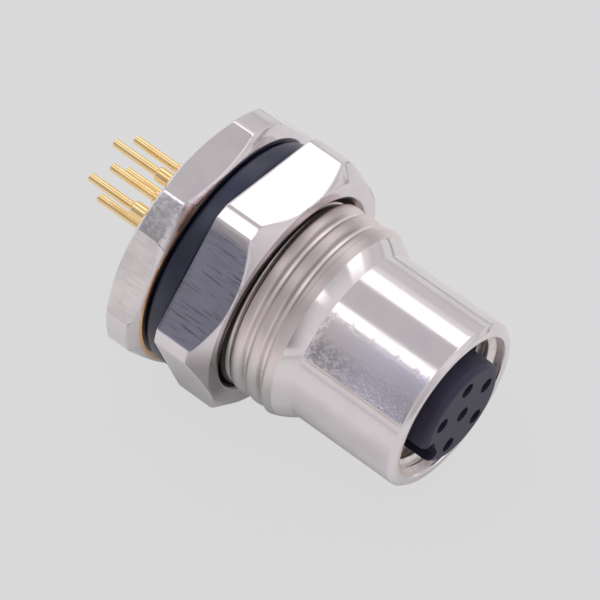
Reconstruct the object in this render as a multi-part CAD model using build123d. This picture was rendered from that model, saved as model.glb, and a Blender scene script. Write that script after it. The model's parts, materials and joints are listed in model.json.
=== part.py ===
import os
from math import cos, radians, tan

from build123d import *

# Panel-mount circular sensor connector, socket side, lying with its axis level.
# A turned and nickel-plated shell has a hexagonal flange at the rear, a thread for the panel nut,
# a convex taper and a plain nose with the coupling thread inside it.
# A moulded insert with a keyway stands in the nose and carries six turned contacts, five round one,
# whose tails leave through the rear insulator.
# The origin is the centre of the flange's front face, where the panel is clamped.
# The mating direction is -Y and +Z is up. All sizes are in millimetres.
# The helical threads are plain cylinders here: the panel thread at its major diameter and the
# coupling thread at its minor diameter.

# Panel thread
panel_thread_d = 16.0
panel_thread_depth = 0.92
panel_thread_end = 9.9

# Shell in front of the thread
shell_front = 21.2
nose_d = 14.0
nose_chamfer = 0.4
taper_l = 1.9
taper_bulge = 0.12

# Hexagons: the corners of the flange and the nut are turned to one diameter
hex_corner_d = 21.4

# Hexagonal flange
flange_t = 3.1
flange_af = 20.0
flange_front_land = 0.4
flange_rear_land = 0.3
flange_chamfer_angle = 30

# Coupling thread and the cavity inside the nose
coupling_minor_d = 10.92
coupling_major_d = 12.0
mouth_clearance = 0.05
coupling_depth = 9.8
undercut_l = 1.5
undercut_clearance = 0.05
web_t = 1.5
carrier_bore_d = 12.0
rear_bore_chamfer = 0.3

# Panel seal, an O-ring squeezed flat between the flange and the nut
seal_width = 2.0
seal_squeezed_t = 1.9
seal_edge_round = 0.8
seal_gap = 0.42
relief_overrun = 0.5
relief_slope = 0.5

# Panel nut
nut_af = 19.2
nut_t = 4.3
nut_turned = 15
nut_front_land = 0.05
nut_chamfer_angle = 45
nut_running_clearance = 0.05
nut_countersink = 0.35

# Insert
insert_d = 8.5
insert_proud = 0.85
insert_edge_round = 0.55
insert_web_clearance = 0.1
insert_body_l = 7.9
insert_body_clearance = 0.05
keyway_w = 2.3
keyway_depth = 1.1
keyway_angle = -102
keyway_root_round = 0.25

# Seals on the insert
coupling_seal_section = 1.15
coupling_seal_groove_depth = 0.25
carrier_seal_section = 1.3
carrier_seal_squeeze = 0.2
carrier_seal_from_shoulder = 3.0
seal_side_clearance = 0.025

# Rear insulator
insulator_proud = 1.2
insulator_edge = 0.3

# Contacts
contact_pcd = 5.5
contact_ring_count = 5
key_gap_angle = 87
window_mouth_d = 1.24
window_throat_d = 1.12
window_l = 1.0
socket_d = 1.7
socket_l = 7.5
socket_bore_d = 1.0
socket_bore_l = 6.0
socket_lead = 0.12
slit_w = 0.3
slit_l = 4.6
shank_d = 1.4
collar_d = 2.0
collar_t = 0.95
post_d = 1.2
post_end = 3.8
tail_d = 0.7
tail_end = 8.2
tail_tip_round = 0.3
contact_clearance = 0.05

# Places along the axis, measured forward from the flange's front face
flange_rear = -flange_t
thread_root_d = panel_thread_d - 2 * panel_thread_depth
relief_end = seal_squeezed_t + relief_overrun
taper_front = panel_thread_end + taper_l
coupling_floor = shell_front - coupling_depth
web_rear = coupling_floor - web_t
insert_front = shell_front + insert_proud
insert_rear = web_rear - insert_body_l
insulator_rear = flange_rear - insulator_proud
nut_rear = seal_squeezed_t
nut_front = nut_rear + nut_t
window_rear = insert_front - window_l
socket_front = window_rear - contact_clearance
socket_rear = socket_front - socket_l


def at(forward, diameter):
    """A point of a turned outline, from its place along the axis and its diameter."""
    return (diameter / 2, -forward)


def turned(*edges):
    """A solid of revolution about the connector's axis, from the edges of its closed outline."""
    outline = Wire(edges)
    return revolve(make_face(outline), axis=Axis.Y)


def outline_of(points):
    """The straight edges that join the points in turn and close the outline."""
    return [Line(a, b) for a, b in zip(points, points[1:] + points[:1])]


def rod(start, end, diameter, x=0.0, z=0.0):
    """A round bar along the axis between two places."""
    bar = Cylinder(diameter / 2, end - start, align=(Align.CENTER, Align.CENTER, Align.MIN))
    return Pos(x, -end, z) * Rot(-90, 0, 0) * bar


def hexagon(across_flats, start, end, turn=0):
    """A hexagonal bar along the axis with two flats level, turned about the axis."""
    hexagon_face = RegularPolygon(across_flats / 2, 6, major_radius=False)
    section = Rot(0, turn, 0) * Rot(90, 0, 0) * hexagon_face
    return Pos(0, -start, 0) * extrude(section, amount=end - start, dir=(0, -1, 0))


def round_about(angle, radius):
    """The x and z of a place on a circle, by the clock angle from +Z towards +X, seen from the front."""
    spot = Vector(0, 0, radius).rotate(Axis.Y, angle)
    return spot.X, spot.Z


def make_housing():
    """The shell: flange, thread relief, thread, taper, nose, and the stepped cavity through it."""
    slope = tan(radians(flange_chamfer_angle))
    front_face_d = flange_af - 2 * flange_front_land
    rear_face_d = flange_af - 2 * flange_rear_land
    mouth_d = coupling_major_d + 2 * mouth_clearance
    undercut_d = coupling_major_d + 2 * undercut_clearance
    undercut_front = coupling_floor + undercut_l
    taper_middle = at(panel_thread_end + taper_l / 2, (panel_thread_d + nose_d) / 2 + 2 * taper_bulge)
    taper = ThreePointArc(at(panel_thread_end, panel_thread_d), taper_middle, at(taper_front, nose_d))
    points = [
        at(taper_front, nose_d),
        at(shell_front - nose_chamfer, nose_d),
        at(shell_front, nose_d - 2 * nose_chamfer),
        at(shell_front, mouth_d),
        at(shell_front - (mouth_d - coupling_minor_d) / 2, coupling_minor_d),
        at(undercut_front + (undercut_d - coupling_minor_d) / 2, coupling_minor_d),
        at(undercut_front, undercut_d),
        at(coupling_floor, undercut_d),
        at(coupling_floor, insert_d + 2 * insert_web_clearance),
        at(web_rear, insert_d + 2 * insert_web_clearance),
        at(web_rear, carrier_bore_d),
        at(flange_rear + rear_bore_chamfer, carrier_bore_d),
        at(flange_rear, carrier_bore_d + 2 * rear_bore_chamfer),
        at(flange_rear, rear_face_d),
        at(flange_rear + slope * (hex_corner_d - rear_face_d) / 2, hex_corner_d),
        at(-slope * (hex_corner_d - front_face_d) / 2, hex_corner_d),
        at(0, front_face_d),
        at(0, thread_root_d),
        at(relief_end - relief_slope, thread_root_d),
        at(relief_end, panel_thread_d),
        at(panel_thread_end, panel_thread_d),
    ]
    straight = [Line(a, b) for a, b in zip(points, points[1:])]
    shell = turned(*straight, taper)
    around = rod(flange_rear, 0, hex_corner_d + flange_t)
    return shell - (around - hexagon(flange_af, flange_rear, 0))


def make_panel_nut():
    """The hexagonal nut: its corners are turned, and its front edge is chamfered."""
    slope = tan(radians(nut_chamfer_angle))
    face_d = nut_af - 2 * nut_front_land
    bore_d = panel_thread_d + 2 * nut_running_clearance
    points = [
        at(nut_rear, bore_d + 2 * nut_countersink),
        at(nut_rear, hex_corner_d),
        at(nut_front - slope * (hex_corner_d - face_d) / 2, hex_corner_d),
        at(nut_front, face_d),
        at(nut_front, bore_d + 2 * nut_countersink),
        at(nut_front - nut_countersink, bore_d),
        at(nut_rear + nut_countersink, bore_d),
    ]
    return turned(*outline_of(points)) & hexagon(nut_af, nut_rear, nut_front, nut_turned)


def ring_seal(inner_d, start, width, thickness, edge_round):
    """A rubber ring of rounded section, from its inner diameter and the place of its rear face."""
    centre = Pos(inner_d / 2 + width / 2, -start - thickness / 2)
    return revolve(centre * RectangleRounded(width, thickness, edge_round), axis=Axis.Y)


def make_panel_seal():
    """The O-ring between the flange and the nut, squeezed between their faces."""
    inner_d = thread_root_d + 2 * seal_gap
    return ring_seal(inner_d, 0, seal_width, seal_squeezed_t, seal_edge_round)


def make_coupling_seal():
    """The O-ring at the bottom of the coupling cavity, in the groove at the foot of the insert."""
    inner_d = insert_d - 2 * coupling_seal_groove_depth + 2 * seal_side_clearance
    section = Pos(inner_d / 2 + coupling_seal_section / 2,
                  -coupling_floor - seal_side_clearance - coupling_seal_section / 2)
    return revolve(section * Circle(coupling_seal_section / 2), axis=Axis.Y)


def carrier_seal_depth():
    """The radial room that the carrier's squeezed O-ring fills."""
    return carrier_seal_section - carrier_seal_squeeze


def make_carrier_seal():
    """The O-ring between the insert's body and the shell."""
    inner_d = carrier_bore_d - 2 * carrier_seal_depth() - 2 * seal_side_clearance
    start = web_rear - carrier_seal_from_shoulder - carrier_seal_section
    return ring_seal(inner_d, start, carrier_seal_depth(), carrier_seal_section, carrier_seal_depth() / 3)


def contact_places():
    """Each contact's x and z: five round the circle, with a wider gap across the key, and one in the middle."""
    step = (360 - key_gap_angle) / (contact_ring_count - 1)
    first = keyway_angle + key_gap_angle / 2
    ring = [round_about(first + step * n, contact_pcd / 2) for n in range(contact_ring_count)]
    return ring + [(0.0, 0.0)]


def make_contact_insert():
    """The moulded insert: a keyed front that stands in the nose, and a wider body behind the web."""
    body_d = carrier_bore_d - 2 * insert_body_clearance
    groove_d = insert_d - 2 * coupling_seal_groove_depth
    groove_front = coupling_floor + coupling_seal_section + 2 * seal_side_clearance
    seal_groove_d = carrier_bore_d - 2 * carrier_seal_depth() - 4 * seal_side_clearance
    seal_front = web_rear - carrier_seal_from_shoulder + seal_side_clearance
    seal_rear = seal_front - carrier_seal_section - 2 * seal_side_clearance
    points = [
        at(insert_front, 0),
        at(insert_front, insert_d),
        at(groove_front, insert_d),
        at(groove_front, groove_d),
        at(coupling_floor, groove_d),
        at(coupling_floor, insert_d),
        at(web_rear, insert_d),
        at(web_rear, body_d),
        at(seal_front, body_d),
        at(seal_front, seal_groove_d),
        at(seal_rear, seal_groove_d),
        at(seal_rear, body_d),
        at(insert_rear, body_d),
        at(insert_rear, 0),
    ]
    body = turned(*outline_of(points))
    body = fillet(body.edges().sort_by(Axis.Y)[0], insert_edge_round)
    for x, z in contact_places():
        body -= window(x, z)
        body -= rod(insert_rear, window_rear, socket_d + 2 * contact_clearance, x, z)
    return body - keyway()


def window(x, z):
    """A contact's window, which narrows inwards to lead the pin in, as a moulded hole does."""
    funnel = Cone(
        window_throat_d / 2,
        window_mouth_d / 2,
        window_l,
        align=(Align.CENTER, Align.CENTER, Align.MAX),
    )
    return Pos(x, -insert_front, z) * Rot(90, 0, 0) * funnel


def keyway():
    """The slot along the insert's front that keeps the plug the right way round."""
    length = insert_front - coupling_floor
    height = keyway_depth + insert_d
    slot = Box(keyway_w, length, height, align=(Align.CENTER, Align.MAX, Align.MIN))
    slot = fillet(slot.edges().filter_by(Axis.Y).group_by(Axis.Z)[0], keyway_root_round)
    placed = Pos(0, -coupling_floor, insert_d / 2 - keyway_depth) * slot
    return placed.rotate(Axis.Y, keyway_angle)


def make_rear_insulator():
    """The moulded disc that locks the contacts from behind and lets their posts out."""
    body_d = carrier_bore_d - 2 * insert_body_clearance
    disc = rod(insulator_rear, insert_rear, body_d)
    disc = chamfer(disc.edges().sort_by(Axis.Y)[-1], insulator_edge)
    pocket_l = collar_t + contact_clearance
    for x, z in contact_places():
        disc -= rod(insert_rear - pocket_l, insert_rear, collar_d + 2 * contact_clearance, x, z)
        disc -= rod(insulator_rear, insert_rear, post_d + 2 * contact_clearance, x, z)
    return disc


def make_contact():
    """One turned contact on the axis: a slit socket, a shank, the locking collar, a post and a tail."""
    bore_floor = socket_front - socket_bore_l
    collar_rear = insert_rear - collar_t
    post_rear = flange_rear - post_end
    tail_rear = flange_rear - tail_end
    step = (post_d - tail_d) / 2
    tip = tail_rear + tail_tip_round
    tip_middle = (
        tail_d / 2 - tail_tip_round * (1 - cos(radians(45))),
        -(tip - tail_tip_round * cos(radians(45))),
    )
    points = [
        at(tail_rear, tail_d - 2 * tail_tip_round),
        at(tail_rear, 0),
        at(bore_floor, 0),
        at(bore_floor, socket_bore_d),
        at(socket_front - socket_lead, socket_bore_d),
        at(socket_front, socket_bore_d + 2 * socket_lead),
        at(socket_front, socket_d),
        at(socket_rear, socket_d),
        at(socket_rear, shank_d),
        at(insert_rear, shank_d),
        at(insert_rear, collar_d),
        at(collar_rear, collar_d),
        at(collar_rear, post_d),
        at(post_rear, post_d),
        at(post_rear - step, tail_d),
        at(tip, tail_d),
    ]
    straight = [Line(a, b) for a, b in zip(points, points[1:])]
    contact = turned(*straight, ThreePointArc(points[-1], tip_middle, points[0]))
    slit = Pos(0, -socket_front, 0) * Box(
        2 * socket_d, slit_l, slit_w, align=(Align.CENTER, Align.MIN, Align.CENTER)
    )
    return contact - slit


os.makedirs("parts", exist_ok=True)
export_step(make_housing(), "parts/housing.step")
export_step(make_panel_nut(), "parts/panel_nut.step")
export_step(make_panel_seal(), "parts/panel_seal.step")
export_step(make_contact_insert(), "parts/contact_insert.step")
export_step(make_coupling_seal(), "parts/coupling_seal.step")
export_step(make_carrier_seal(), "parts/carrier_seal.step")
export_step(make_rear_insulator(), "parts/rear_insulator.step")
for number, (x, z) in enumerate(contact_places(), start=1):
    export_step(Pos(x, 0, z) * make_contact(), f"parts/contact_{number}.step")
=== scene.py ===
"""A panel-mount circular sensor connector, dressed for its photograph.

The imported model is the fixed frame. The shell and the nut are modelled again with their helical
threads, and so are the panel seal and the contacts. Every piece gets a procedural finish. Sizes in the
property groups are real lengths, and the pieces are modelled in millimetres and brought to metres.
"""

import json
from math import cos, pi, radians, sin

import bpy
from bpy.props import FloatProperty, FloatVectorProperty, PointerProperty
from bpy.types import Operator, Panel, PropertyGroup
from mathutils import Matrix, Vector


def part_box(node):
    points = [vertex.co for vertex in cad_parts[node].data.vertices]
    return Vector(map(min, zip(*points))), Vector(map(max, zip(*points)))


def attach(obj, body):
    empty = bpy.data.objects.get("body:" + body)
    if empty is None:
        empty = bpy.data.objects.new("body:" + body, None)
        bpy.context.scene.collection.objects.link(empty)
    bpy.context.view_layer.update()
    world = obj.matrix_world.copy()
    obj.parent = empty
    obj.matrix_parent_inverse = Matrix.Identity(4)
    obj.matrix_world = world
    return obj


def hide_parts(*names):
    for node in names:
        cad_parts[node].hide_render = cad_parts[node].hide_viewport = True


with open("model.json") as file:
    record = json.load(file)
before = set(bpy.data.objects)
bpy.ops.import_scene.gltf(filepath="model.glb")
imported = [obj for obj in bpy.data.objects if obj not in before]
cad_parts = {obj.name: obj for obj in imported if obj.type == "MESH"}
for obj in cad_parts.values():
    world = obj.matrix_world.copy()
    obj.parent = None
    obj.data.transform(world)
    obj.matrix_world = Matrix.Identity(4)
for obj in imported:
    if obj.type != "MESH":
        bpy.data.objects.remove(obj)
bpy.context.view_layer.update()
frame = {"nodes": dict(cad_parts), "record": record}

bl_info = {
    "name": "Circular sensor connector",
    "version": (1, 0, 0),
    "blender": (4, 5, 0),
    "location": "3D View > Sidebar > Connector",
    "description": "Models the connector's threads and finishes round its packed solids",
    "category": "Object",
}

MM = 0.001
ROUND_STEPS = 144
SHARP_ANGLE = radians(35)
# Points of a piece nearer than this, in millimetres, are one point.
MERGE = 1e-4
# How far the shell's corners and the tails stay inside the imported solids, in millimetres.
INSET = 0.001
# The tangent of the 30 degrees that a thread's flank leans by.
FLANK_SLOPE = 0.577
# How far past two open rims, in millimetres, their edges are looked for.
RIM_REACH = 0.05


def span(node):
    """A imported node's rear and front, in millimetres forward of the flange's front face."""
    low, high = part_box(node)
    return round(-high.y / MM, 3), round(-low.y / MM, 3)


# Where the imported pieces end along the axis
FLANGE_REAR, NOSE_FRONT = span("housing")
NUT_REAR, NUT_FRONT = span("panel_nut")
SEAL_REAR, SEAL_FRONT = span("panel_seal")
CONTACT_REAR, CONTACT_FRONT = span("contact_1")
# The radius, in millimetres, that the corners of both hexagons are turned to.
CORNER_RADIUS = 10.7
# What the panel thread and the nut's share: where they start, the place of a crest straight to the
# right of the axis, the reach of the rounds, the crest's share of the pitch, and its dome.
PANEL_THREAD = {"start": 2.4, "crest_at": 7.944, "soften": 0.16, "crest_share": 0.86, "dome": 0.06}


# Shader maths

class Value:
    """A shader socket that can be added, multiplied and compared as a number is."""

    def __init__(self, nodes, socket):
        self.nodes = nodes
        self.socket = socket

    def __add__(self, other):
        return self.nodes.maths("ADD", self, other)

    def __radd__(self, other):
        return self.nodes.maths("ADD", other, self)

    def __sub__(self, other):
        return self.nodes.maths("SUBTRACT", self, other)

    def __rsub__(self, other):
        return self.nodes.maths("SUBTRACT", other, self)

    def __mul__(self, other):
        return self.nodes.maths("MULTIPLY", self, other)

    def __rmul__(self, other):
        return self.nodes.maths("MULTIPLY", other, self)

    def __pow__(self, other):
        return self.nodes.maths("POWER", self, other)

    def __rpow__(self, other):
        return self.nodes.maths("POWER", other, self)

    def near(self, middle, half, soft):
        """1 within half of the middle, 0 further off, with an edge of the given softness."""
        off = self.nodes.maths("ABSOLUTE", self - middle)
        return 1 - off.between(half - soft / 2, half + soft / 2)

    def between(self, low, high):
        """0 up to low, 1 from high on, and a smooth rise in between."""
        settings = {"interpolation_type": "SMOOTHSTEP"}
        sockets = {"Value": self, "From Min": low, "From Max": high}
        return self.nodes.make("ShaderNodeMapRange", settings, sockets)


class Nodes:
    """The nodes of one material or world."""

    def __init__(self, owner):
        owner.use_nodes = True
        self.tree = owner.node_tree
        self.tree.nodes.clear()

    def make(self, kind, settings=None, sockets=None, output=0):
        """One node: its settings first, then the values or links of its sockets."""
        node = self.tree.nodes.new(kind)
        for key, value in (settings or {}).items():
            setattr(node, key, value)
        for key, value in (sockets or {}).items():
            if isinstance(value, Value):
                self.tree.links.new(value.socket, node.inputs[key])
            else:
                node.inputs[key].default_value = value
        return Value(self, node.outputs[output]) if node.outputs else node

    def maths(self, operation, *values):
        """A Math node on values or numbers, in their order."""
        return self.make("ShaderNodeMath", {"operation": operation}, dict(enumerate(values)))

    def mix(self, share, first, second):
        """A colour between two, by a share. Each is three numbers or a socket's value."""
        first, second = (c if isinstance(c, Value) else rgba(c) for c in (first, second))
        return self.make(
            "ShaderNodeMix", {"data_type": "RGBA"}, {0: share, 6: first, 7: second}, output=2
        )

    def place(self, stretch=(1.0, 1.0, 1.0)):
        """Object coordinates in millimetres, stretched along the axes."""
        coordinates = self.make("ShaderNodeTexCoord", output="Object")
        scale = tuple(s / MM for s in stretch)
        return self.make("ShaderNodeMapping", {}, {"Vector": coordinates, "Scale": scale})

    def parts(self, vector):
        """The three numbers of a vector."""
        outputs = self.make("ShaderNodeSeparateXYZ", {}, {0: vector}).socket.node.outputs
        return [Value(self, output) for output in outputs]

    def turn(self, across, up):
        """The angle of a direction from straight up towards the right, in degrees."""
        return self.maths("DEGREES", self.maths("ARCTAN2", across, up))

    def round_the_axis(self):
        """Each spot's place forward along the axis, its radius, and its angle from straight up."""
        x, y, z = self.parts(self.place())
        return 0 - y, (x * x + z * z) ** 0.5, self.turn(x, z)

    def ray(self, kind):
        """1 where a ray of a kind looks, such as Is Camera Ray, and 0 for the others."""
        return self.make("ShaderNodeLightPath", output=kind)

    def noise(self, place, size, detail=2.0, roughness=0.5):
        """Noise with spots of about the given size in millimetres."""
        sockets = {"Vector": place, "Scale": 1 / size, "Detail": detail, "Roughness": roughness}
        return self.make("ShaderNodeTexNoise", {}, sockets)

    def bump(self, height, distance):
        """A normal from a height, whose full range is the distance in millimetres."""
        return self.make("ShaderNodeBump", {}, {"Height": height, "Distance": distance * MM})


def rgba(colour):
    """A colour as a shader socket takes it, with its alpha."""
    return (*colour, 1.0)


def toned(colour, *shares):
    """A colour with each channel multiplied by its share."""
    return [min(1.0, channel * share) for channel, share in zip(colour, shares)]


def layered(nodes, colour, layers):
    """A colour under layers, each with its share and the tone that it gives the colour there."""
    tint = colour
    for share, tone in layers:
        tint = nodes.mix(share, tint, toned(colour, *tone))
    return tint


def new_material(name):
    """The nodes of a new material, still empty."""
    return Nodes(bpy.data.materials.new(name))


def finish_material(nodes, **sockets):
    """A Principled shader on the nodes given, joined to the material's output."""
    names = {key.replace("_", " "): value for key, value in sockets.items()}
    shader = nodes.make("ShaderNodeBsdfPrincipled", {}, names)
    nodes.make("ShaderNodeOutputMaterial", {}, {"Surface": shader})


def finishes(*names):
    """Finishes by name, in the order of a piece's slots: turned faces, flats and the inside."""
    return [bpy.data.materials[name] for name in names]


def set_materials(piece, materials):
    """Puts materials in a piece's slots, in order."""
    while len(piece.material_slots) < len(materials):
        piece.data.materials.append(None)
    for place, material in zip(piece.material_slots, materials):
        place.material = material


# Modelling

def rounded(points, steps=4):
    """An outline of (forward, radius) points, in which a third number rounds that corner."""
    outline = []
    for number, point in enumerate(points):
        corner = Vector(point[:2])
        if len(point) == 2:
            outline.append(corner)
            continue
        before = Vector(points[number - 1][:2]) - corner
        after = Vector(points[(number + 1) % len(points)][:2]) - corner
        reach = point[2]
        start = corner + before.normalized() * min(reach, before.length / 2)
        end = corner + after.normalized() * min(reach, after.length / 2)
        outline += curved(start, corner, end, steps)
    return outline


def curved(start, pull, end, steps):
    """Points of a curve from start to end that leans towards the pull point."""
    start, pull, end = Vector(start), Vector(pull), Vector(end)
    shares = [n / steps for n in range(steps + 1)]
    return [start * (1 - t) ** 2 + pull * 2 * t * (1 - t) + end * t * t for t in shares]


def draw(name, outlines, closed=False):
    """An object with each outline drawn on the plane of X and Y, by extruding one point along it."""
    bpy.ops.object.select_all(action="DESELECT")
    bpy.ops.mesh.primitive_plane_add(size=1, location=(0, 0, 0))
    piece = bpy.context.object
    piece.name = name
    bpy.ops.object.mode_set(mode="EDIT")
    bpy.ops.mesh.select_mode(type="VERT")
    bpy.ops.mesh.delete(type="VERT")
    for outline in outlines:
        bpy.ops.mesh.primitive_plane_add(size=1, location=(0, 0, 0))
        bpy.ops.mesh.merge(type="CENTER")
        spots = [Vector((radius, -forward, 0)) for forward, radius in outline]
        bpy.ops.transform.translate(value=spots[0])
        if closed:
            spots.append(spots[0])
        for here, there in zip(spots, spots[1:]):
            bpy.ops.mesh.extrude_vertices_move(TRANSFORM_OT_translate={"value": there - here})
    merge_all()
    return piece


def merge_all(distance=MERGE):
    """Merges the points of the whole piece that are nearer than a distance."""
    bpy.ops.mesh.select_all(action="SELECT")
    bpy.ops.mesh.remove_doubles(threshold=distance)


def spin(steps=ROUND_STEPS):
    """Turns the whole piece once round the connector's axis."""
    bpy.ops.mesh.select_all(action="SELECT")
    bpy.ops.mesh.spin(steps=steps, angle=2 * pi, center=(0, 0, 0), axis=(0, 1, 0))
    merge_all()


def select(kind, test):
    """Selects the faces, or the open edges, that pass a test, and nothing else."""
    bpy.ops.mesh.select_all(action="DESELECT")
    bpy.ops.mesh.select_mode(type="EDGE" if kind == "edges" else "FACE")
    bpy.ops.object.mode_set(mode="OBJECT")
    mesh = bpy.context.object.data
    if kind == "edges":
        faces_of = {}
        for face in mesh.polygons:
            for key in face.edge_keys:
                faces_of[key] = faces_of.get(key, 0) + 1
        for edge in mesh.edges:
            ends = [mesh.vertices[v].co for v in edge.vertices]
            edge.select = faces_of.get(edge.key, 0) == 1 and all(test(end) for end in ends)
    else:
        for face in mesh.polygons:
            face.select = test(face.center, face.normal)
    bpy.ops.object.mode_set(mode="EDIT")


def from_axis(spot):
    """A spot's distance from the connector's axis."""
    return Vector((spot.x, spot.z)).length


def cut(point, normal, fill=False):
    """Cuts the whole piece by a plane, and clears what is on the normal's side."""
    bpy.ops.mesh.select_all(action="SELECT")
    bpy.ops.mesh.bisect(
        plane_co=point, plane_no=normal, use_fill=fill, clear_outer=True, threshold=MERGE
    )


def cut_flats(across, turn, edge):
    """Cuts six flats round the axis, gives them the second finish, and breaks their edges."""
    normals = [Vector((sin(a), 0, cos(a))) for a in (turn + n * pi / 3 for n in range(6))]
    for normal in normals:
        cut(normal * across / 2, normal, fill=True)
    merge_all(edge / 4)

    def on_flat(centre, facing):
        return any(abs(facing.dot(n)) > 0.9999 and centre.dot(n) > across / 2 - 0.01 for n in normals)

    select("faces", on_flat)
    bpy.context.object.active_material_index = 1
    bpy.ops.object.material_slot_assign()
    bpy.ops.mesh.region_to_loop()
    bpy.ops.mesh.bevel(offset=edge, segments=2, affect="EDGES", clamp_overlap=False)


def thread(name, pitch, root, crest, crest_at, start, end, soften, crest_share=0.42, dome=0.0):
    """A helical thread between two places along the axis, as one open surface.

    The crest takes its share of what the two flanks leave of the pitch, and can be domed.
    """
    flank = abs(crest - root) * FLANK_SLOPE
    half_crest = (pitch - 2 * flank) * crest_share / 2
    wave = [
        (-pitch / 2, root),
        (-half_crest - flank, root, soften),
        (-half_crest, crest - dome, soften),
        (0, crest, half_crest),
        (half_crest, crest - dome, soften),
        (half_crest + flank, root, soften),
        (pitch / 2, root),
    ]
    first = start - pitch * 1.5
    first += (crest_at - first) % pitch
    shape = [(first + along, radius) for along, radius in rounded(wave, steps=3)]
    piece = draw(name, [shape])
    bpy.ops.object.mode_set(mode="OBJECT")
    screw = piece.modifiers.new("Helix", "SCREW")
    screw.axis = "Y"
    screw.angle = -2 * pi
    screw.screw_offset = -pitch
    screw.iterations = int((end - first) / pitch) + 3
    screw.steps = screw.render_steps = ROUND_STEPS
    screw.use_merge_vertices = True
    screw.merge_threshold = MERGE
    screw.use_smooth_shade = True
    bpy.ops.object.modifier_apply(modifier=screw.name)
    bpy.ops.object.mode_set(mode="EDIT")
    merge_all()
    cut((0, -start, 0), (0, 1, 0))
    cut((0, -end, 0), (0, -1, 0))
    bpy.ops.object.mode_set(mode="OBJECT")
    set_materials(piece, finishes("nickel_turned"))
    return piece


def turned_hexagon(name, outlines, materials, across, turn, edge):
    """A turned piece with six flats, left in object mode."""
    piece = draw(name, outlines)
    spin()
    bpy.ops.object.mode_set(mode="OBJECT")
    set_materials(piece, materials)
    bpy.ops.object.mode_set(mode="EDIT")
    cut_flats(across, turn, edge)
    bpy.ops.object.mode_set(mode="OBJECT")
    return piece


def assign_inside(front, radius):
    """Gives the third finish to the faces that lie behind a place on the axis and within a radius."""
    def inside(centre, facing):
        return -centre.y < front and from_axis(centre) < radius
    select("faces", inside)
    bpy.context.object.active_material_index = 2
    bpy.ops.object.material_slot_assign()


def join(piece, others):
    """Joins other pieces to a piece, and goes back to its edit mode."""
    bpy.ops.object.select_all(action="DESELECT")
    for one in (*others, piece):
        one.select_set(True)
    bpy.context.view_layer.objects.active = piece
    bpy.ops.object.join()
    bpy.ops.object.mode_set(mode="EDIT")


def bridge(rear, front, inner=0.0, outer=100.0):
    """Joins two open rims, at two places along the axis and between two radii."""
    def near(spot):
        return rear - RIM_REACH < -spot.y < front + RIM_REACH and inner < from_axis(spot) < outer
    select("edges", near)
    bpy.ops.mesh.bridge_edge_loops()


def complete(piece, body, materials, node):
    """Ends a piece that is in edit mode: outward faces, metres, smooth shading, finish, body and node."""
    bpy.ops.mesh.select_mode(type="FACE")
    bpy.ops.mesh.select_all(action="SELECT")
    bpy.ops.mesh.normals_make_consistent(inside=False)
    bpy.ops.transform.resize(value=(MM, MM, MM), center_override=(0, 0, 0))
    bpy.ops.object.mode_set(mode="OBJECT")
    bpy.ops.object.select_all(action="DESELECT")
    piece.select_set(True)
    bpy.ops.object.shade_smooth_by_angle(angle=SHARP_ANGLE)
    even = piece.modifiers.new("Even flats", "WEIGHTED_NORMAL")
    even.keep_sharp = True
    bpy.ops.object.modifier_apply(modifier=even.name)
    set_materials(piece, materials)
    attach(piece, body)
    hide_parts(node)


# Sizes and colours

class ShellSizes(PropertyGroup):
    """Sizes of the turned shell and the nut."""

    thread_pitch: FloatProperty(
        name="Panel thread pitch", description="Rise of the panel thread in one turn",
        default=1.5 * MM, unit="LENGTH", precision=5)
    thread_crest_d: FloatProperty(
        name="Panel thread crest", description="Diameter over the crests of the panel thread",
        default=15.86 * MM, unit="LENGTH", precision=5)
    thread_root_d: FloatProperty(
        name="Panel thread root", description="Diameter in the roots of the panel thread",
        default=14.86 * MM, unit="LENGTH", precision=5)
    coupling_pitch: FloatProperty(
        name="Coupling thread pitch", description="Rise of the thread inside the nose in one turn",
        default=1.0 * MM, unit="LENGTH", precision=5)
    edge_round: FloatProperty(
        name="Broken edges", description="Reach of the small rounds on the turned edges",
        default=0.12 * MM, unit="LENGTH", precision=5)
    nut_turn: FloatProperty(
        name="Nut's turn", description="Angle of the nut's first flat from straight up",
        default=radians(15), subtype="ANGLE")


class Finishes(PropertyGroup):
    """Colours of the finishes."""

    nickel: FloatVectorProperty(
        name="Nickel plate", description="Reflected colour of the bright nickel plate",
        default=(0.80, 0.747, 0.768), subtype="COLOR", min=0, max=1)
    brass: FloatVectorProperty(
        name="Bare brass", description="Reflected colour of the brass where the nickel is worn off",
        default=(0.92, 0.54, 0.26), subtype="COLOR", min=0, max=1)
    gold: FloatVectorProperty(
        name="Gold plate", description="Reflected colour of the gold-plated contacts",
        default=(1.0, 0.755, 0.40), subtype="COLOR", min=0, max=1)
    rubber: FloatVectorProperty(
        name="Seal rubber", description="Colour of the seals",
        default=(0.008, 0.010, 0.024), subtype="COLOR", min=0, max=1)
    insert: FloatVectorProperty(
        name="Insert", description="Colour of the moulded contact insert",
        default=(0.016, 0.0148, 0.036), subtype="COLOR", min=0, max=1)
    insulator: FloatVectorProperty(
        name="Rear insulator", description="Colour of the moulded disc behind the insert",
        default=(0.012, 0.012, 0.014), subtype="COLOR", min=0, max=1)


class StageSettings(PropertyGroup):
    """The floor, the light and the camera."""

    backdrop: FloatProperty(
        name="Backdrop", description="Brightness of the floor and backdrop",
        default=0.694, min=0, max=1)
    lens: FloatProperty(
        name="Lens", description="Focal length of the camera in millimetres",
        default=295.9, min=1)


# Finishes. Angles on the connector are in degrees from straight up, and minus is to the left.

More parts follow.
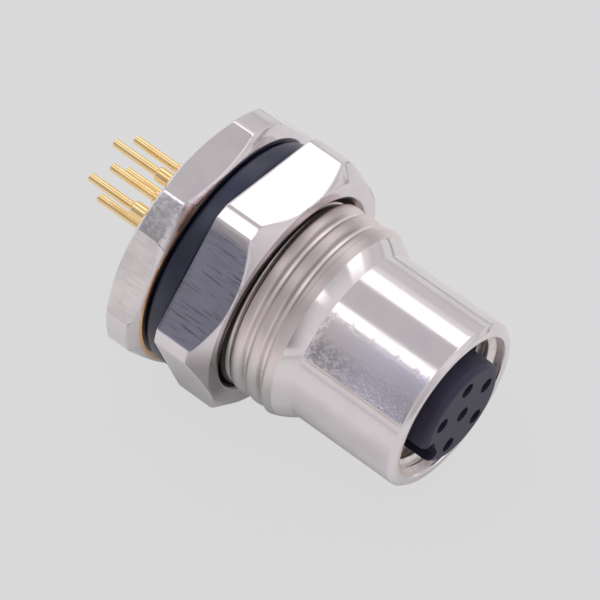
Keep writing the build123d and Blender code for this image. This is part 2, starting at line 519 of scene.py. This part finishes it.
def nickel_turned(colour, brass):
    """Bright nickel on turned faces: lathe rings, a satin thread, a frosted patch, brass at worn edges, and
    painted shade and highlights.
    """
    nodes = new_material("nickel_turned")
    forward, radius, angle = nodes.round_the_axis()
    clouds = nodes.noise(nodes.place(), 2.4, 4.0)
    rings = nodes.noise(nodes.place((0.25, 9.0, 0.25)), 1.0, 3.0)
    dust = nodes.noise(nodes.place(), 0.16, 3.0, 0.7)
    frost = nodes.noise(nodes.place((1.0, 0.7, 1.0)), 0.3, 4.0, 0.62)
    wander = nodes.noise(nodes.place(), 0.7, 4.0, 0.68) - 0.5
    stain = clouds.between(0.42, 0.72)

    # The frosted patch on the nose with its ragged edges, coloured as a painted reflection, the seam beside
    # it and a ragged painted highlight behind it
    ragged = forward + wander * 1.6
    patch = angle.between(-52.2, -51.4) * (1 - (angle + wander * 24.064).between(-21.8, -20.8))
    patch = patch * ragged.between(12.0, 12.12) * (1 - forward.between(20.55, 20.75))
    patch_painted_shade_left = patch * (1 - angle.between(-44, -30))
    seam = angle.near(-53.6, 0.5, 0.5) * forward.between(11.9, 12.1) * (1 - forward.between(20.5, 20.7))
    painted_ragged_highlight = angle.near(-37, 14, 4) * ragged.near(12.0, 0.16, 0.16)

    # The panel thread: satin all round, with painted shade on top, on the left and in the gap at the nut, and
    # painted light in its roots
    satin = forward.near(5.6, 5.0, 0.12) * radius.near(7.65, 0.4, 0.05)
    painted_shade_top = satin * angle.near(2, 36, 20)
    painted_root_light = satin * (1 - radius.between(7.46, 7.62))
    painted_shade_left = satin * angle.near(-112, 36, 28)
    # Painted shade, near black, on the thread in the gap beside the nut
    painted_gap_shade = (1 - (forward + angle * 0.0024435).between(5.98, 6.08)) * forward.between(5.7, 5.8)
    painted_gap_shade = painted_gap_shade * radius.near(7.7, 0.4, 0.05)

    # Painted shade in the nut's countersink and on the left side of its front, and a mottled bluish-grey
    # patch on the flange's corner
    painted_sink_shade = radius.near(8.2, 0.14, 0.06) * forward.near(5.98, 0.14, 0.06)
    painted_shade_left_front = angle.near(-92, 22, 24) * radius.between(8.4, 8.5) * forward.near(5.6, 0.75, 0.1)
    corner = angle.near(-30, 9, 3) * radius.between(10.2, 10.5) * (1 - forward.between(0, 1))

    # The edges of the flange and the mouth, where the plating is worn through
    flange_edge = radius.near(9.66, 0.16, 0.1) * forward.near(-0.02, 0.14, 0.06)
    mouth_edge = radius.near(6.12, 0.12, 0.05) * forward.between(20.9, 21.0)
    worn = flange_edge * angle.near(-75, 65, 30) + mouth_edge * angle.near(-60, 38, 24)

    tint = layered(nodes, colour, (
        (stain * 0.5, (0.90, 0.885, 0.91)),
        (satin, (1.07, 1.01, 0.98)),
        # Painted shade on the top of the thread
        (painted_shade_top, (0.69, 0.65, 0.63)),
        # Painted light in the thread's roots
        (painted_root_light * 0.8, (1.25, 1.28, 1.25)),
        # Painted shade on the thread's left side
        (painted_shade_left, (0.70, 0.72, 0.70)),
        # Painted shade in the gap at the nut
        (painted_gap_shade, (0.0375, 0.0335, 0.0286)),
        # Painted shade in the nut's countersink
        (painted_sink_shade, (0.56, 0.51, 0.46)),
        # Painted ragged highlight where the patch begins
        (painted_ragged_highlight * frost.between(0.4, 0.5), (1.2, 1.2, 1.2)),
        # Painted shade on the patch's left part
        (patch_painted_shade_left * frost.between(0.40, 0.56) * 0.8, (0.55, 0.55, 0.60)),
        (corner * frost.between(0.36, 0.64) * 0.7, (0.52, 0.56, 0.64)),
        # Painted shade on the left side of the nut's front
        (painted_shade_left_front, (0.50, 0.49, 0.48)),
        # Painted bluish reflection on the patch, darker towards the mouth; its frost and bump are real
        (patch * forward.between(12.5, 18), (0.94, 0.96, 1.09)),
        (patch * forward.between(17.0, 20.5) * 0.5, (0.72, 0.73, 0.85)),
        (seam * 0.8, (0.80, 0.70, 0.62)),
    ))
    tint = nodes.mix(worn * dust.between(0.30, 0.50), tint, brass)
    rough = 0.085 + rings * 0.05 + stain * 0.05 + dust.between(0.55, 0.8) * 0.06
    rough = rough + patch * 0.05 + satin * 0.25 + painted_ragged_highlight * 0.4
    height = rings * 0.12 + dust * 0.05 + patch * 0.35 + patch * frost * 0.8 + patch_painted_shade_left * frost * 4.0
    finish_material(
        nodes, Base_Color=tint, Metallic=1.0, Roughness=rough, Normal=nodes.bump(height, 0.018)
    )


def nickel_flats(name, colour, scored_and_shaded_side, tone, strokes):
    """Bright nickel on flats: mottled plating, and one side given another tone with strokes along the bar; on
    the nut that tone is painted shade.
    """
    nodes = new_material(name)
    _, _, angle = nodes.round_the_axis()
    clouds = nodes.noise(nodes.place(), 4.5, 5.0, 0.62)
    lines = nodes.noise(nodes.place((7.0, 0.4, 7.0)), 1.0, 3.0, 0.55)
    fine = nodes.noise(nodes.place((15.0, 0.7, 15.0)), 1.0, 3.0, 0.6)
    grain = nodes.noise(nodes.place((2.6, 1.5, 2.6)), 1.2, 4.0, 0.7)
    stain = clouds.between(0.42, 0.6)
    # The side that gets the painted tone and the strokes
    shaded_side = angle.near(scored_and_shaded_side - 3.5, 26.5, 5)
    scored = (lines.between(0.56, 0.62) + fine.between(0.5, 0.7) * 0.3) * shaded_side * strokes
    tint = layered(nodes, colour, (
        (stain * 0.5, (0.84, 0.85, 0.88)),
        (shaded_side, tone),
        (shaded_side * stain * 0.5, toned(tone, 0.75, 0.75, 0.75)),
        (scored, (0.26, 0.27, 0.34)),
    ))
    rough = 0.11 + stain * 0.07 + scored * 0.15
    height = grain * 0.15 - scored * 0.05
    finish_material(
        nodes, Base_Color=tint, Metallic=1.0, Roughness=rough, Normal=nodes.bump(height, 0.03)
    )


def nickel_inside(colour):
    """Nickel inside the cavity: rough, made pale by painted light, and darker deeper in by painted shade."""
    nodes = new_material("nickel_inside")
    forward, _, _ = nodes.round_the_axis()
    clouds = nodes.noise(nodes.place(), 0.6, 4.0, 0.6)
    grain = nodes.noise(nodes.place(), 0.22, 4.0, 0.7)
    # Both tones are lighter than the plate: painted light against the cavity's shade
    pale, warm = toned(colour, 1.22, 1.26, 1.22), toned(colour, 1.12, 1.06, 1.0)
    tint = nodes.mix(clouds.between(0.35, 0.65), pale, warm)
    # Painted shade deeper in the cavity
    tint = nodes.mix(1 - forward.between(18.0, 19.4), tint, toned(colour, 0.30, 0.28, 0.29))
    rough = 0.28 + clouds * 0.16
    finish_material(
        nodes, Base_Color=tint, Metallic=1.0, Roughness=rough, Normal=nodes.bump(grain, 0.03)
    )


def shaded_nut_thread(colour):
    """The nut's own thread, painted dark as the shade in its narrow gap."""
    nodes = new_material("shaded_nut_thread")
    clouds = nodes.noise(nodes.place(), 0.8, 3.0)
    tint = nodes.mix(clouds, toned(colour, 0.05, 0.045, 0.04), toned(colour, 0.02, 0.02, 0.02))
    rough = 0.35 + clouds * 0.2
    finish_material(nodes, Base_Color=tint, Metallic=0.6, Roughness=rough)


def gold_plating(colour):
    """Gold plate on turned contacts: faint rings and a warmer tone in patches."""
    nodes = new_material("gold_plating")
    rings = nodes.noise(nodes.place((0.4, 1.1, 0.4)), 1.0)
    clouds = nodes.noise(nodes.place(), 1.4)
    tint = nodes.mix(clouds.between(0.4, 0.7), colour, toned(colour, 1.0, 0.92, 0.84))
    rough = 0.17 + rings * 0.06
    finish_material(nodes, Base_Color=tint, Metallic=1.0, Roughness=rough)


def dark_rubber(colour):
    """Smooth dark rubber with a soft sheen and a fine skin."""
    nodes = new_material("dark_rubber")
    skin = nodes.noise(nodes.place(), 0.12, 3.0, 0.6)
    clouds = nodes.noise(nodes.place(), 2.0, 3.0)
    tint = nodes.mix(clouds.between(0.35, 0.7), colour, toned(colour, 1.5, 1.5, 1.5))
    rough = 0.24 + clouds * 0.14 + skin * 0.06
    finish_material(
        nodes, Base_Color=tint, Roughness=rough, Normal=nodes.bump(skin, 0.006),
        Specular_IOR_Level=0.62, Specular_Tint=rgba((0.86, 0.88, 1.0)),
    )


def moulded_plastic(name, colour, gloss):
    """Moulded plastic with a fine spark-eroded grain and slightly uneven tone."""
    nodes = new_material(name)
    grain = nodes.noise(nodes.place(), 0.09, 3.0, 0.65)
    clouds = nodes.noise(nodes.place(), 1.6, 4.0)
    tint = nodes.mix(clouds.between(0.35, 0.7), colour, toned(colour, 1.22, 1.22, 1.22))
    rough = gloss + grain * 0.12 + clouds * 0.08
    finish_material(
        nodes, Base_Color=tint, Roughness=rough, Normal=nodes.bump(grain, 0.012),
        Specular_Tint=rgba((0.92, 0.90, 1.0)),
    )


# Operators

class CONNECTOR_OT_finishes(Operator):
    """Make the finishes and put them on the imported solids"""

    bl_idname = "connector.finishes"
    bl_label = "Finishes"

    def execute(self, context):
        colours = context.scene.connector_finishes
        nickel_turned(colours.nickel, colours.brass)
        nickel_flats("nickel_flats", colours.nickel, -60, (1.04, 1.02, 1.0), 0.14)
        # The nut's flats: the left flat is painted darker and bluer as shade, with strokes
        nickel_flats("nickel_scored_shaded", colours.nickel, -45, (0.60, 0.625, 0.77), 0.8)
        nickel_inside(colours.nickel)
        shaded_nut_thread(colours.nickel)
        gold_plating(colours.gold)
        dark_rubber(colours.rubber)
        moulded_plastic("slate_plastic", colours.insert, 0.42)
        moulded_plastic("black_plastic", colours.insulator, 0.5)
        finish_of = {
            "nickel_plate": "nickel_turned",
            "gold_plate": "gold_plating",
            "seal_rubber": "dark_rubber",
            "insert_plastic": "slate_plastic",
            "insulator_plastic": "black_plastic",
        }
        for part in frame["record"]["subparts"]:
            set_materials(frame["nodes"][part["node"]], finishes(finish_of[part["material_slot"]]))
        return {"FINISHED"}


class CONNECTOR_OT_housing(Operator):
    """Model the turned shell with its two threads and its hexagonal flange"""

    bl_idname = "connector.housing"
    bl_label = "Housing"

    def execute(self, context):
        sizes = context.scene.connector_shell
        edge = sizes.edge_round / MM
        crest, root = sizes.thread_crest_d / MM / 2, sizes.thread_root_d / MM / 2
        corner_rear, corner_front, relief_end, thread_end, taper_front = -2.523, -0.635, 1.95, 9.9, 11.8
        web_rear, cavity_floor, undercut_end = 9.9, 11.4, 12.95
        coupling_start, coupling_end, mouth = 13.45, 20.4, NOSE_FRONT - 0.2
        bore_radius, web_radius, undercut_radius, nose_radius = 6.0, 4.35, 6.05, 7.0
        coupling_root, coupling_crest = 6.0, 5.46
        flange_rear_radius, flange_front_radius, corner = 9.7, 9.6, CORNER_RADIUS - INSET
        nose_chamfer, bore_chamfer = 0.4, 0.3
        shoulder_radius, shoulder_break, taper_pull = 8.0, 0.04, (10.85, 7.74)
        # The split between what is outside the wall of the shell and what is inside it
        wall = 6.5
        shoulder = (thread_end + shoulder_break, shoulder_radius)
        nose = [(thread_end, shoulder_radius - shoulder_break)]
        nose += curved(shoulder, taper_pull, (taper_front, nose_radius), steps=10)
        nose += rounded([
            (taper_front, nose_radius),
            (NOSE_FRONT - nose_chamfer, nose_radius, edge),
            (NOSE_FRONT, nose_radius - nose_chamfer, edge),
            (NOSE_FRONT, undercut_radius, edge),
            (mouth, coupling_root),
        ])[1:]
        rear = rounded([
            (undercut_end, undercut_radius),
            (cavity_floor, undercut_radius, edge),
            (cavity_floor, web_radius, edge),
            (web_rear, web_radius, edge),
            (web_rear, bore_radius, edge),
            (FLANGE_REAR + bore_chamfer, bore_radius, edge),
            (FLANGE_REAR, bore_radius + bore_chamfer, edge),
            (FLANGE_REAR, flange_rear_radius, edge),
            (corner_rear, corner, edge),
            (corner_front, corner, edge),
            (0, flange_front_radius, edge),
            (0, root, edge),
            (relief_end, root),
        ])
        pitch, coupling_pitch = sizes.thread_pitch / MM, sizes.coupling_pitch / MM
        panel = thread("panel_thread", pitch, root, crest, end=thread_end, **PANEL_THREAD)
        coupling = thread(
            "coupling_thread", coupling_pitch, coupling_root, coupling_crest,
            crest_at=20.0, start=coupling_start, end=coupling_end, soften=0.1,
        )
        materials = finishes("nickel_turned", "nickel_flats", "nickel_inside")
        shell = turned_hexagon("shell", [nose, rear], materials, across=20.0, turn=0.0, edge=0.08)
        join(shell, [panel, coupling])
        # Each rim of a thread is joined to the shell's rim beside it.
        bridge(thread_end, thread_end, inner=wall)
        bridge(relief_end, PANEL_THREAD["start"], inner=wall)
        bridge(coupling_end, mouth, outer=wall)
        bridge(undercut_end, coupling_start, outer=wall)
        assign_inside(front=20.9, radius=6.2)
        complete(shell, "connector", materials, "housing")
        return {"FINISHED"}


class CONNECTOR_OT_nut(Operator):
    """Model the hexagonal panel nut with its thread"""

    bl_idname = "connector.nut"
    bl_label = "Panel nut"

    def execute(self, context):
        sizes = context.scene.connector_shell
        edge = sizes.edge_round / MM
        gap, bore_gap, countersink, chamfer, thread_end, wall = 0.07, 0.05, 0.35, 1.15, 5.7, 8.3
        crest, root = sizes.thread_crest_d / MM / 2 + gap, sizes.thread_root_d / MM / 2 + gap
        bore = crest + bore_gap
        outside = rounded([
            (NUT_REAR + countersink, bore),
            (NUT_REAR, bore + countersink, edge),
            (NUT_REAR, CORNER_RADIUS, edge),
            (NUT_FRONT - chamfer, CORNER_RADIUS, edge),
            (NUT_FRONT, CORNER_RADIUS - chamfer, edge),
            (NUT_FRONT, bore + countersink, edge),
            (NUT_FRONT - countersink, bore),
        ])
        pitch = sizes.thread_pitch / MM
        inside = thread("nut_thread", pitch, root, crest, end=thread_end, **PANEL_THREAD)
        materials = finishes("nickel_turned", "nickel_scored_shaded", "shaded_nut_thread")
        nut = turned_hexagon(
            "hexagonal_nut", [outside], materials, across=19.2, turn=sizes.nut_turn, edge=0.16
        )
        join(nut, [inside])
        # Each rim of the thread is joined to the nut's rim beside it.
        bridge(NUT_REAR + countersink, PANEL_THREAD["start"], outer=wall)
        bridge(thread_end, NUT_FRONT - countersink, outer=wall)
        # The nut's thread and the back of its countersink get the painted shade of the gap.
        assign_inside(front=5.86, radius=8.1)
        complete(nut, "nut", materials, "panel_nut")
        return {"FINISHED"}


class CONNECTOR_OT_seal(Operator):
    """Model the O-ring squeezed between the flange and the nut"""

    bl_idname = "connector.seal"
    bl_label = "Panel seal"

    def execute(self, context):
        inner, outer, corner = 7.5, 9.5, 0.85
        section = rounded([
            (SEAL_REAR, inner, corner),
            (SEAL_REAR, outer, corner),
            (SEAL_FRONT, outer, corner),
            (SEAL_FRONT, inner, corner),
        ], steps=8)
        seal = draw("squeezed_seal", [section], closed=True)
        spin()
        complete(seal, "connector", finishes("dark_rubber"), "panel_seal")
        return {"FINISHED"}


class CONNECTOR_OT_contacts(Operator):
    """Model one gold-plated contact and copy it to its six places"""

    bl_idname = "connector.contacts"
    bl_label = "Contacts"

    def execute(self, context):
        first = make_contact("turned_contact_1")
        copies = [first]
        for number in range(2, 7):
            copy = first.copy()
            copy.data = first.data.copy()
            copy.name = f"turned_contact_{number}"
            context.scene.collection.objects.link(copy)
            copies.append(copy)
        for number, copy in enumerate(copies, start=1):
            node = f"contact_{number}"
            low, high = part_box(node)
            middle = (low + high) / 2 / MM
            bpy.ops.object.select_all(action="DESELECT")
            copy.select_set(True)
            bpy.context.view_layer.objects.active = copy
            bpy.ops.object.mode_set(mode="EDIT")
            bpy.ops.mesh.select_all(action="SELECT")
            bpy.ops.transform.translate(value=(middle.x, 0, middle.z))
            complete(copy, "connector", finishes("gold_plating"), node)
        return {"FINISHED"}


def make_contact(name):
    """One turned contact on the axis: tail, post, collar, shank and the slit socket with its bore."""
    tail, post, collar, shank, socket, bore = 0.35, 0.6, 1.0, 0.7, 0.85, 0.5
    post_end, collar_rear, collar_front, socket_rear, bore_floor = -6.9, 1.05, 2.0, 13.5, 15.0
    step, lead, edge = 0.25, 0.12, 0.08
    slit_length, slit_width = 4.6, 0.3
    tail_end = CONTACT_REAR + INSET
    outline = [(tail_end, 0)] + rounded([
        (tail_end, tail, 0.3),
        (post_end - step, tail),
        (post_end, post, 0.06),
        (collar_rear, post),
        (collar_rear, collar, edge),
        (collar_front, collar, edge),
        (collar_front, shank),
        (socket_rear, shank),
        (socket_rear, socket, edge),
        (CONTACT_FRONT, socket, edge),
        (CONTACT_FRONT, bore + lead, 0.04),
        (CONTACT_FRONT - lead, bore),
        (bore_floor, bore),
    ]) + [(bore_floor, 0)]
    contact = draw(name, [outline])
    spin(steps=48)
    bpy.ops.object.mode_set(mode="OBJECT")
    middle = (0, slit_length / 2 - CONTACT_FRONT, 0)
    scale = (4 * socket, slit_length, slit_width)
    bpy.ops.mesh.primitive_cube_add(size=1, location=middle, scale=scale)
    slit = bpy.context.object
    bpy.ops.object.select_all(action="DESELECT")
    contact.select_set(True)
    bpy.context.view_layer.objects.active = contact
    cutter = contact.modifiers.new("Slit", "BOOLEAN")
    cutter.operation = "DIFFERENCE"
    cutter.object = slit
    bpy.ops.object.modifier_apply(modifier=cutter.name)
    bpy.data.objects.remove(slit)
    return contact


class CONNECTOR_OT_stage(Operator):
    """Set the floor, the light and the camera"""

    bl_idname = "connector.stage"
    bl_label = "Stage"

    def execute(self, context):
        settings = context.scene.connector_stage
        make_floor(settings.backdrop)
        make_world(settings.backdrop)
        make_lamps()
        make_camera(settings.lens)
        context.scene.view_settings.view_transform = "Standard"
        return {"FINISHED"}


# Share of the floor's own shadow that the camera sees. The rest is the backdrop's plain colour.
CAMERA_SHADOW = 0.05


def make_floor(level):
    """A wide pale floor that shows the backdrop's colour and keeps the soft shadow.

    In reflections it carries a painted shadow on the connector's left, and is dark in a strip to its right.
    """
    bpy.ops.object.select_all(action="DESELECT")
    bpy.ops.mesh.primitive_plane_add(size=6, location=(0, 0, -10.6 * MM))
    floor = bpy.context.object
    floor.name = "floor"
    nodes = new_material("floor_paper")
    camera, glossy, passing = (
        nodes.ray(kind) for kind in ("Is Camera Ray", "Is Glossy Ray", "Is Transmission Ray")
    )
    place = nodes.place()
    side, depth, _ = nodes.parts(place)
    strip = side.near(58, 4, 2)
    # A painted shadow beside the connector, seen only in reflections
    painted_shadow_pool = 1 - (((side + 16) ** 2 + (depth + 12) ** 2) ** 0.5).between(2, 24)
    fibres = nodes.noise(place, 20, 2.0)
    tone = nodes.mix(fibres, [level * 1.02] * 3, [level * 0.98] * 3)
    tone = nodes.mix(strip * glossy, tone, [level * 0.2] * 3)
    tone = nodes.mix(painted_shadow_pool * glossy, tone, [level * 0.88] * 3)
    paper = nodes.make("ShaderNodeBsdfDiffuse", {}, {"Color": tone})
    glow = nodes.make("ShaderNodeEmission", {}, {"Color": rgba([level] * 3), "Strength": 1.0})
    unlit = camera * (1 - CAMERA_SHADOW) + glossy * 0.1 + passing * 0.9
    surface = nodes.make("ShaderNodeMixShader", {}, {0: unlit, 1: paper, 2: glow})
    nodes.make("ShaderNodeOutputMaterial", {}, {"Surface": surface})
    set_materials(floor, finishes("floor_paper"))


# Each panel of the studio: its middle and half width in degrees about the connector's axis from
# straight up, the softness of its edges, and its brightness at its first and its last edge.
PANELS = {
    "low screen": (34, 52, 6, 0.60, 0.60),
    "side screen": (90, 16, 8, 0.68, 0.62),
    "dark screen": (-47.3, 32, 2, 0.33, 0.58),
    "top strip": (-8.2, 7.2, 2.5, 1.55, 1.55),
    "right glow": (60, 11, 8, 0.84, 0.84),
    "right strip": (49.2, 10.9, 3, 1.6, 1.6),
}


def panel_light(level):
    """A panel's light, with a trace less green."""
    return (level, level * 0.985, level)


def make_world(level):
    """A pale backdrop for the camera, and strip lights along the connector for its reflections."""
    world = bpy.data.worlds.new("studio")
    bpy.context.scene.world = world
    nodes = Nodes(world)
    across, along, up = nodes.parts(nodes.make("ShaderNodeTexCoord", output="Generated"))
    angle = nodes.turn(across, up)
    light = (0.76, 0.75, 0.755)
    for middle, half, soft, first, last in PANELS.values():
        share = angle.between(middle - half, middle + half)
        panel = nodes.mix(share, panel_light(first), panel_light(last))
        light = nodes.mix(angle.near(middle, half, soft), light, panel)
    # In front of the mouth: an even glow, and nearer the axis a panel that brightens to the right
    ahead = 0 - along
    light = nodes.mix(ahead.between(0.45, 0.8), light, (0.8, 0.79, 0.795))
    front = nodes.mix(across.between(-0.5, 0.6), (0.50, 0.485, 0.48), (0.92, 0.91, 0.92))
    light = nodes.mix(ahead.between(0.8, 0.92), light, front)
    plain = nodes.mix(nodes.ray("Is Camera Ray"), (0.62, 0.62, 0.62), (level, level, level))
    colour = nodes.mix(nodes.ray("Is Glossy Ray"), plain, light)
    shader = nodes.make("ShaderNodeBackground", {}, {"Color": colour, "Strength": 1.0})
    nodes.make("ShaderNodeOutputWorld", {}, {"Surface": shader})


def make_lamps():
    """Two soft lamps above the connector, unseen in its reflections."""
    for name, place, size, power in (
        ("overhead", (-0.05, 0.1, 0.5), 0.35, 1.25),
        ("side", (0.4, -0.15, 0.35), 0.3, 0.6),
    ):
        bpy.ops.object.light_add(type="AREA", location=place)
        lamp = bpy.context.object
        lamp.name = name
        lamp.data.size = size
        lamp.data.energy = power
        lamp.visible_glossy = False
        lamp.rotation_euler = (-Vector(place)).to_track_quat("-Z", "Y").to_euler()


def make_camera(lens):
    """A long lens from the front left and above, as in the photograph."""
    right = Vector((0.639, -0.769, 0.0)).normalized()
    back = Vector((-0.404, -0.336, 0.851)).normalized()
    up = back.cross(right).normalized()
    mouth = Vector((0, -NOSE_FRONT, 0))
    aside, above, away = -11.09, 7.75, 354.11
    bpy.ops.object.camera_add(location=(mouth + aside * right + above * up + away * back) * MM)
    camera = bpy.context.object
    camera.rotation_euler = Matrix((right, up, back)).transposed().to_euler()
    camera.data.lens = lens
    camera.data.sensor_width = 36
    camera.data.clip_start, camera.data.clip_end = 0.01, 10
    bpy.context.scene.camera = camera


class CONNECTOR_PT_panel(Panel):
    """The connector's sizes and colours, and the steps that make it"""

    bl_idname = "CONNECTOR_PT_panel"
    bl_label = "Circular connector"
    bl_space_type = "VIEW_3D"
    bl_region_type = "UI"
    bl_category = "Connector"

    def draw(self, context):
        for group in GROUPS:
            settings = getattr(context.scene, group)
            box = self.layout.box()
            for name in type(settings).__annotations__:
                box.prop(settings, name)
        for operator in STEPS:
            self.layout.operator(operator.bl_idname)


GROUPS = {
    "connector_shell": ShellSizes,
    "connector_finishes": Finishes,
    "connector_stage": StageSettings,
}
STEPS = (
    CONNECTOR_OT_finishes,
    CONNECTOR_OT_housing,
    CONNECTOR_OT_nut,
    CONNECTOR_OT_seal,
    CONNECTOR_OT_contacts,
    CONNECTOR_OT_stage,
)


def register():
    for cls in (*GROUPS.values(), *STEPS, CONNECTOR_PT_panel):
        bpy.utils.register_class(cls)
    for name, group in GROUPS.items():
        setattr(bpy.types.Scene, name, PointerProperty(type=group))


def unregister():
    for name in GROUPS:
        delattr(bpy.types.Scene, name)
    for cls in reversed((*GROUPS.values(), *STEPS, CONNECTOR_PT_panel)):
        bpy.utils.unregister_class(cls)


def main():
    register()
    bpy.ops.connector.finishes()
    bpy.ops.connector.housing()
    bpy.ops.connector.nut()
    bpy.ops.connector.seal()
    bpy.ops.connector.contacts()
    bpy.ops.connector.stage()


if __name__ == "__main__":
    main()
